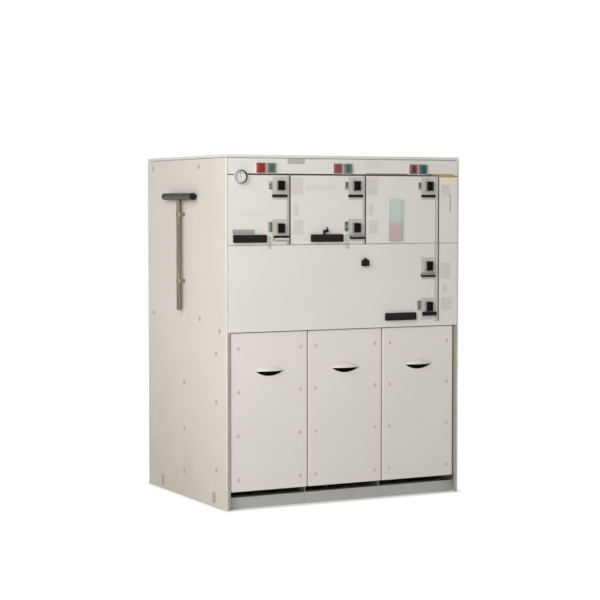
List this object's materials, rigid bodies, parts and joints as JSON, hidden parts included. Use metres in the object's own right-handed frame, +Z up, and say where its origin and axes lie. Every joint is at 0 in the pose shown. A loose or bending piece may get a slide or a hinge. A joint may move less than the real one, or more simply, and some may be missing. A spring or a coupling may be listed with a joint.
{
  "type": "ring main unit",
  "caption": "Free-standing gas-insulated ring main unit: sheet-steel switchgear cabinet with lift-off cable covers, shaft sockets, voltage indicators, push buttons and a parked T-shaped lever.",
  "frame": {"origin": "on the floor, in the middle of the four foundation bolts, which is the plan centre of the cabinet", "axes": "+X to the right along the front, +Y from the front covers to the rear panel, +Z up"},
  "size_m": [1.0525, 0.7805, 1.336],
  "materials": {
    "painted_sheet": "light warm grey powder coat, fine texture, satin",
    "cover_paint": "light grey powder coat, satin",
    "zinc_sheet": "zinc-coated sheet, dull",
    "stainless_plate": "rolled stainless plate, dull",
    "base_beam": "bluish grey coat, satin",
    "control_foil": "printed grey polycarbonate foil on aluminium, matt",
    "black_plastic": "moulded black polyamide, fine texture",
    "bright_steel": "machined steel",
    "indicator_window": "clear window over a coloured flag",
    "gauge_case": "pale enamelled case with a black inner ring, clear glass over a pale dial",
    "status_window": "clear window over coloured fields",
    "red_cap": "moulded red cap, satin",
    "brown_cap": "moulded red-brown cap, satin",
    "green_cap": "moulded green cap, satin",
    "blue_cap": "moulded blue-green cap, satin",
    "lever_steel": "dull phosphated steel tube with a black grip end"
  },
  "bodies": {
    "cabinet": {"base_beam_front": "base_beam", "base_beam_rear": "base_beam", "base_beam_left": "base_beam", "base_beam_right": "base_beam", "front_post_left": "zinc_sheet", "front_post_right": "zinc_sheet", "partition_left": "zinc_sheet", "partition_right": "zinc_sheet", "gas_tank": "stainless_plate", "gas_tank_lid": "stainless_plate", "side_panel_left": "painted_sheet", "side_panel_right": "painted_sheet", "rear_panel": "painted_sheet", "roof_panel": "cover_paint", "fascia": "cover_paint", "upper_cover": "cover_paint", "middle_cover": "cover_paint", "control_plate_1": "control_foil", "control_plate_2": "control_foil", "control_plate_3_upper": "control_foil", "control_plate_3_lower": "control_foil", "drive_sockets_1": "black_plastic", "drive_sockets_2": "black_plastic", "drive_sockets_3": "black_plastic", "drive_shafts": "bright_steel", "padlock_slides": "black_plastic", "position_indicators": "indicator_window", "voltage_indicator_1": "black_plastic", "voltage_indicator_2": "black_plastic", "voltage_indicator_3": "black_plastic", "test_plug": "black_plastic", "pressure_gauge": "gauge_case", "fuse_window": "status_window", "cover_lock": "black_plastic", "operating_lever": "lever_steel", "lever_clips": "bright_steel"},
    "cable_cover_1": {"cable_cover_1": "painted_sheet"},
    "cable_cover_2": {"cable_cover_2": "painted_sheet"},
    "cable_cover_3": {"cable_cover_3": "painted_sheet"},
    "off_button_1": {"off_button_1": "red_cap"},
    "off_button_2": {"off_button_2": "red_cap"},
    "off_button_3": {"off_button_3": "brown_cap"},
    "on_button_1": {"on_button_1": "green_cap"},
    "on_button_2": {"on_button_2": "green_cap"},
    "on_button_3": {"on_button_3": "blue_cap"}
  },
  "joints": [
    {"name": "cable_cover_1_lift", "type": "slide", "parent": "cabinet", "child": "cable_cover_1", "axis": [0, 0, 1], "range_m": [0, 0.02]},
    {"name": "cable_cover_2_lift", "type": "slide", "parent": "cabinet", "child": "cable_cover_2", "axis": [0, 0, 1], "range_m": [0, 0.02]},
    {"name": "cable_cover_3_lift", "type": "slide", "parent": "cabinet", "child": "cable_cover_3", "axis": [0, 0, 1], "range_m": [0, 0.02]},
    {"name": "off_button_1_press", "type": "slide", "parent": "cabinet", "child": "off_button_1", "axis": [0, 1, 0], "range_m": [0, 0.004], "stiffness_N_per_m": 600, "springref_m": -0.002},
    {"name": "on_button_1_press", "type": "slide", "parent": "cabinet", "child": "on_button_1", "axis": [0, 1, 0], "range_m": [0, 0.004], "stiffness_N_per_m": 600, "springref_m": -0.002},
    {"name": "off_button_2_press", "type": "slide", "parent": "cabinet", "child": "off_button_2", "axis": [0, 1, 0], "range_m": [0, 0.004], "stiffness_N_per_m": 600, "springref_m": -0.002},
    {"name": "on_button_2_press", "type": "slide", "parent": "cabinet", "child": "on_button_2", "axis": [0, 1, 0], "range_m": [0, 0.004], "stiffness_N_per_m": 600, "springref_m": -0.002},
    {"name": "off_button_3_press", "type": "slide", "parent": "cabinet", "child": "off_button_3", "axis": [0, 1, 0], "range_m": [0, 0.004], "stiffness_N_per_m": 600, "springref_m": -0.002},
    {"name": "on_button_3_press", "type": "slide", "parent": "cabinet", "child": "on_button_3", "axis": [0, 1, 0], "range_m": [0, 0.004], "stiffness_N_per_m": 600, "springref_m": -0.002}
  ]
}
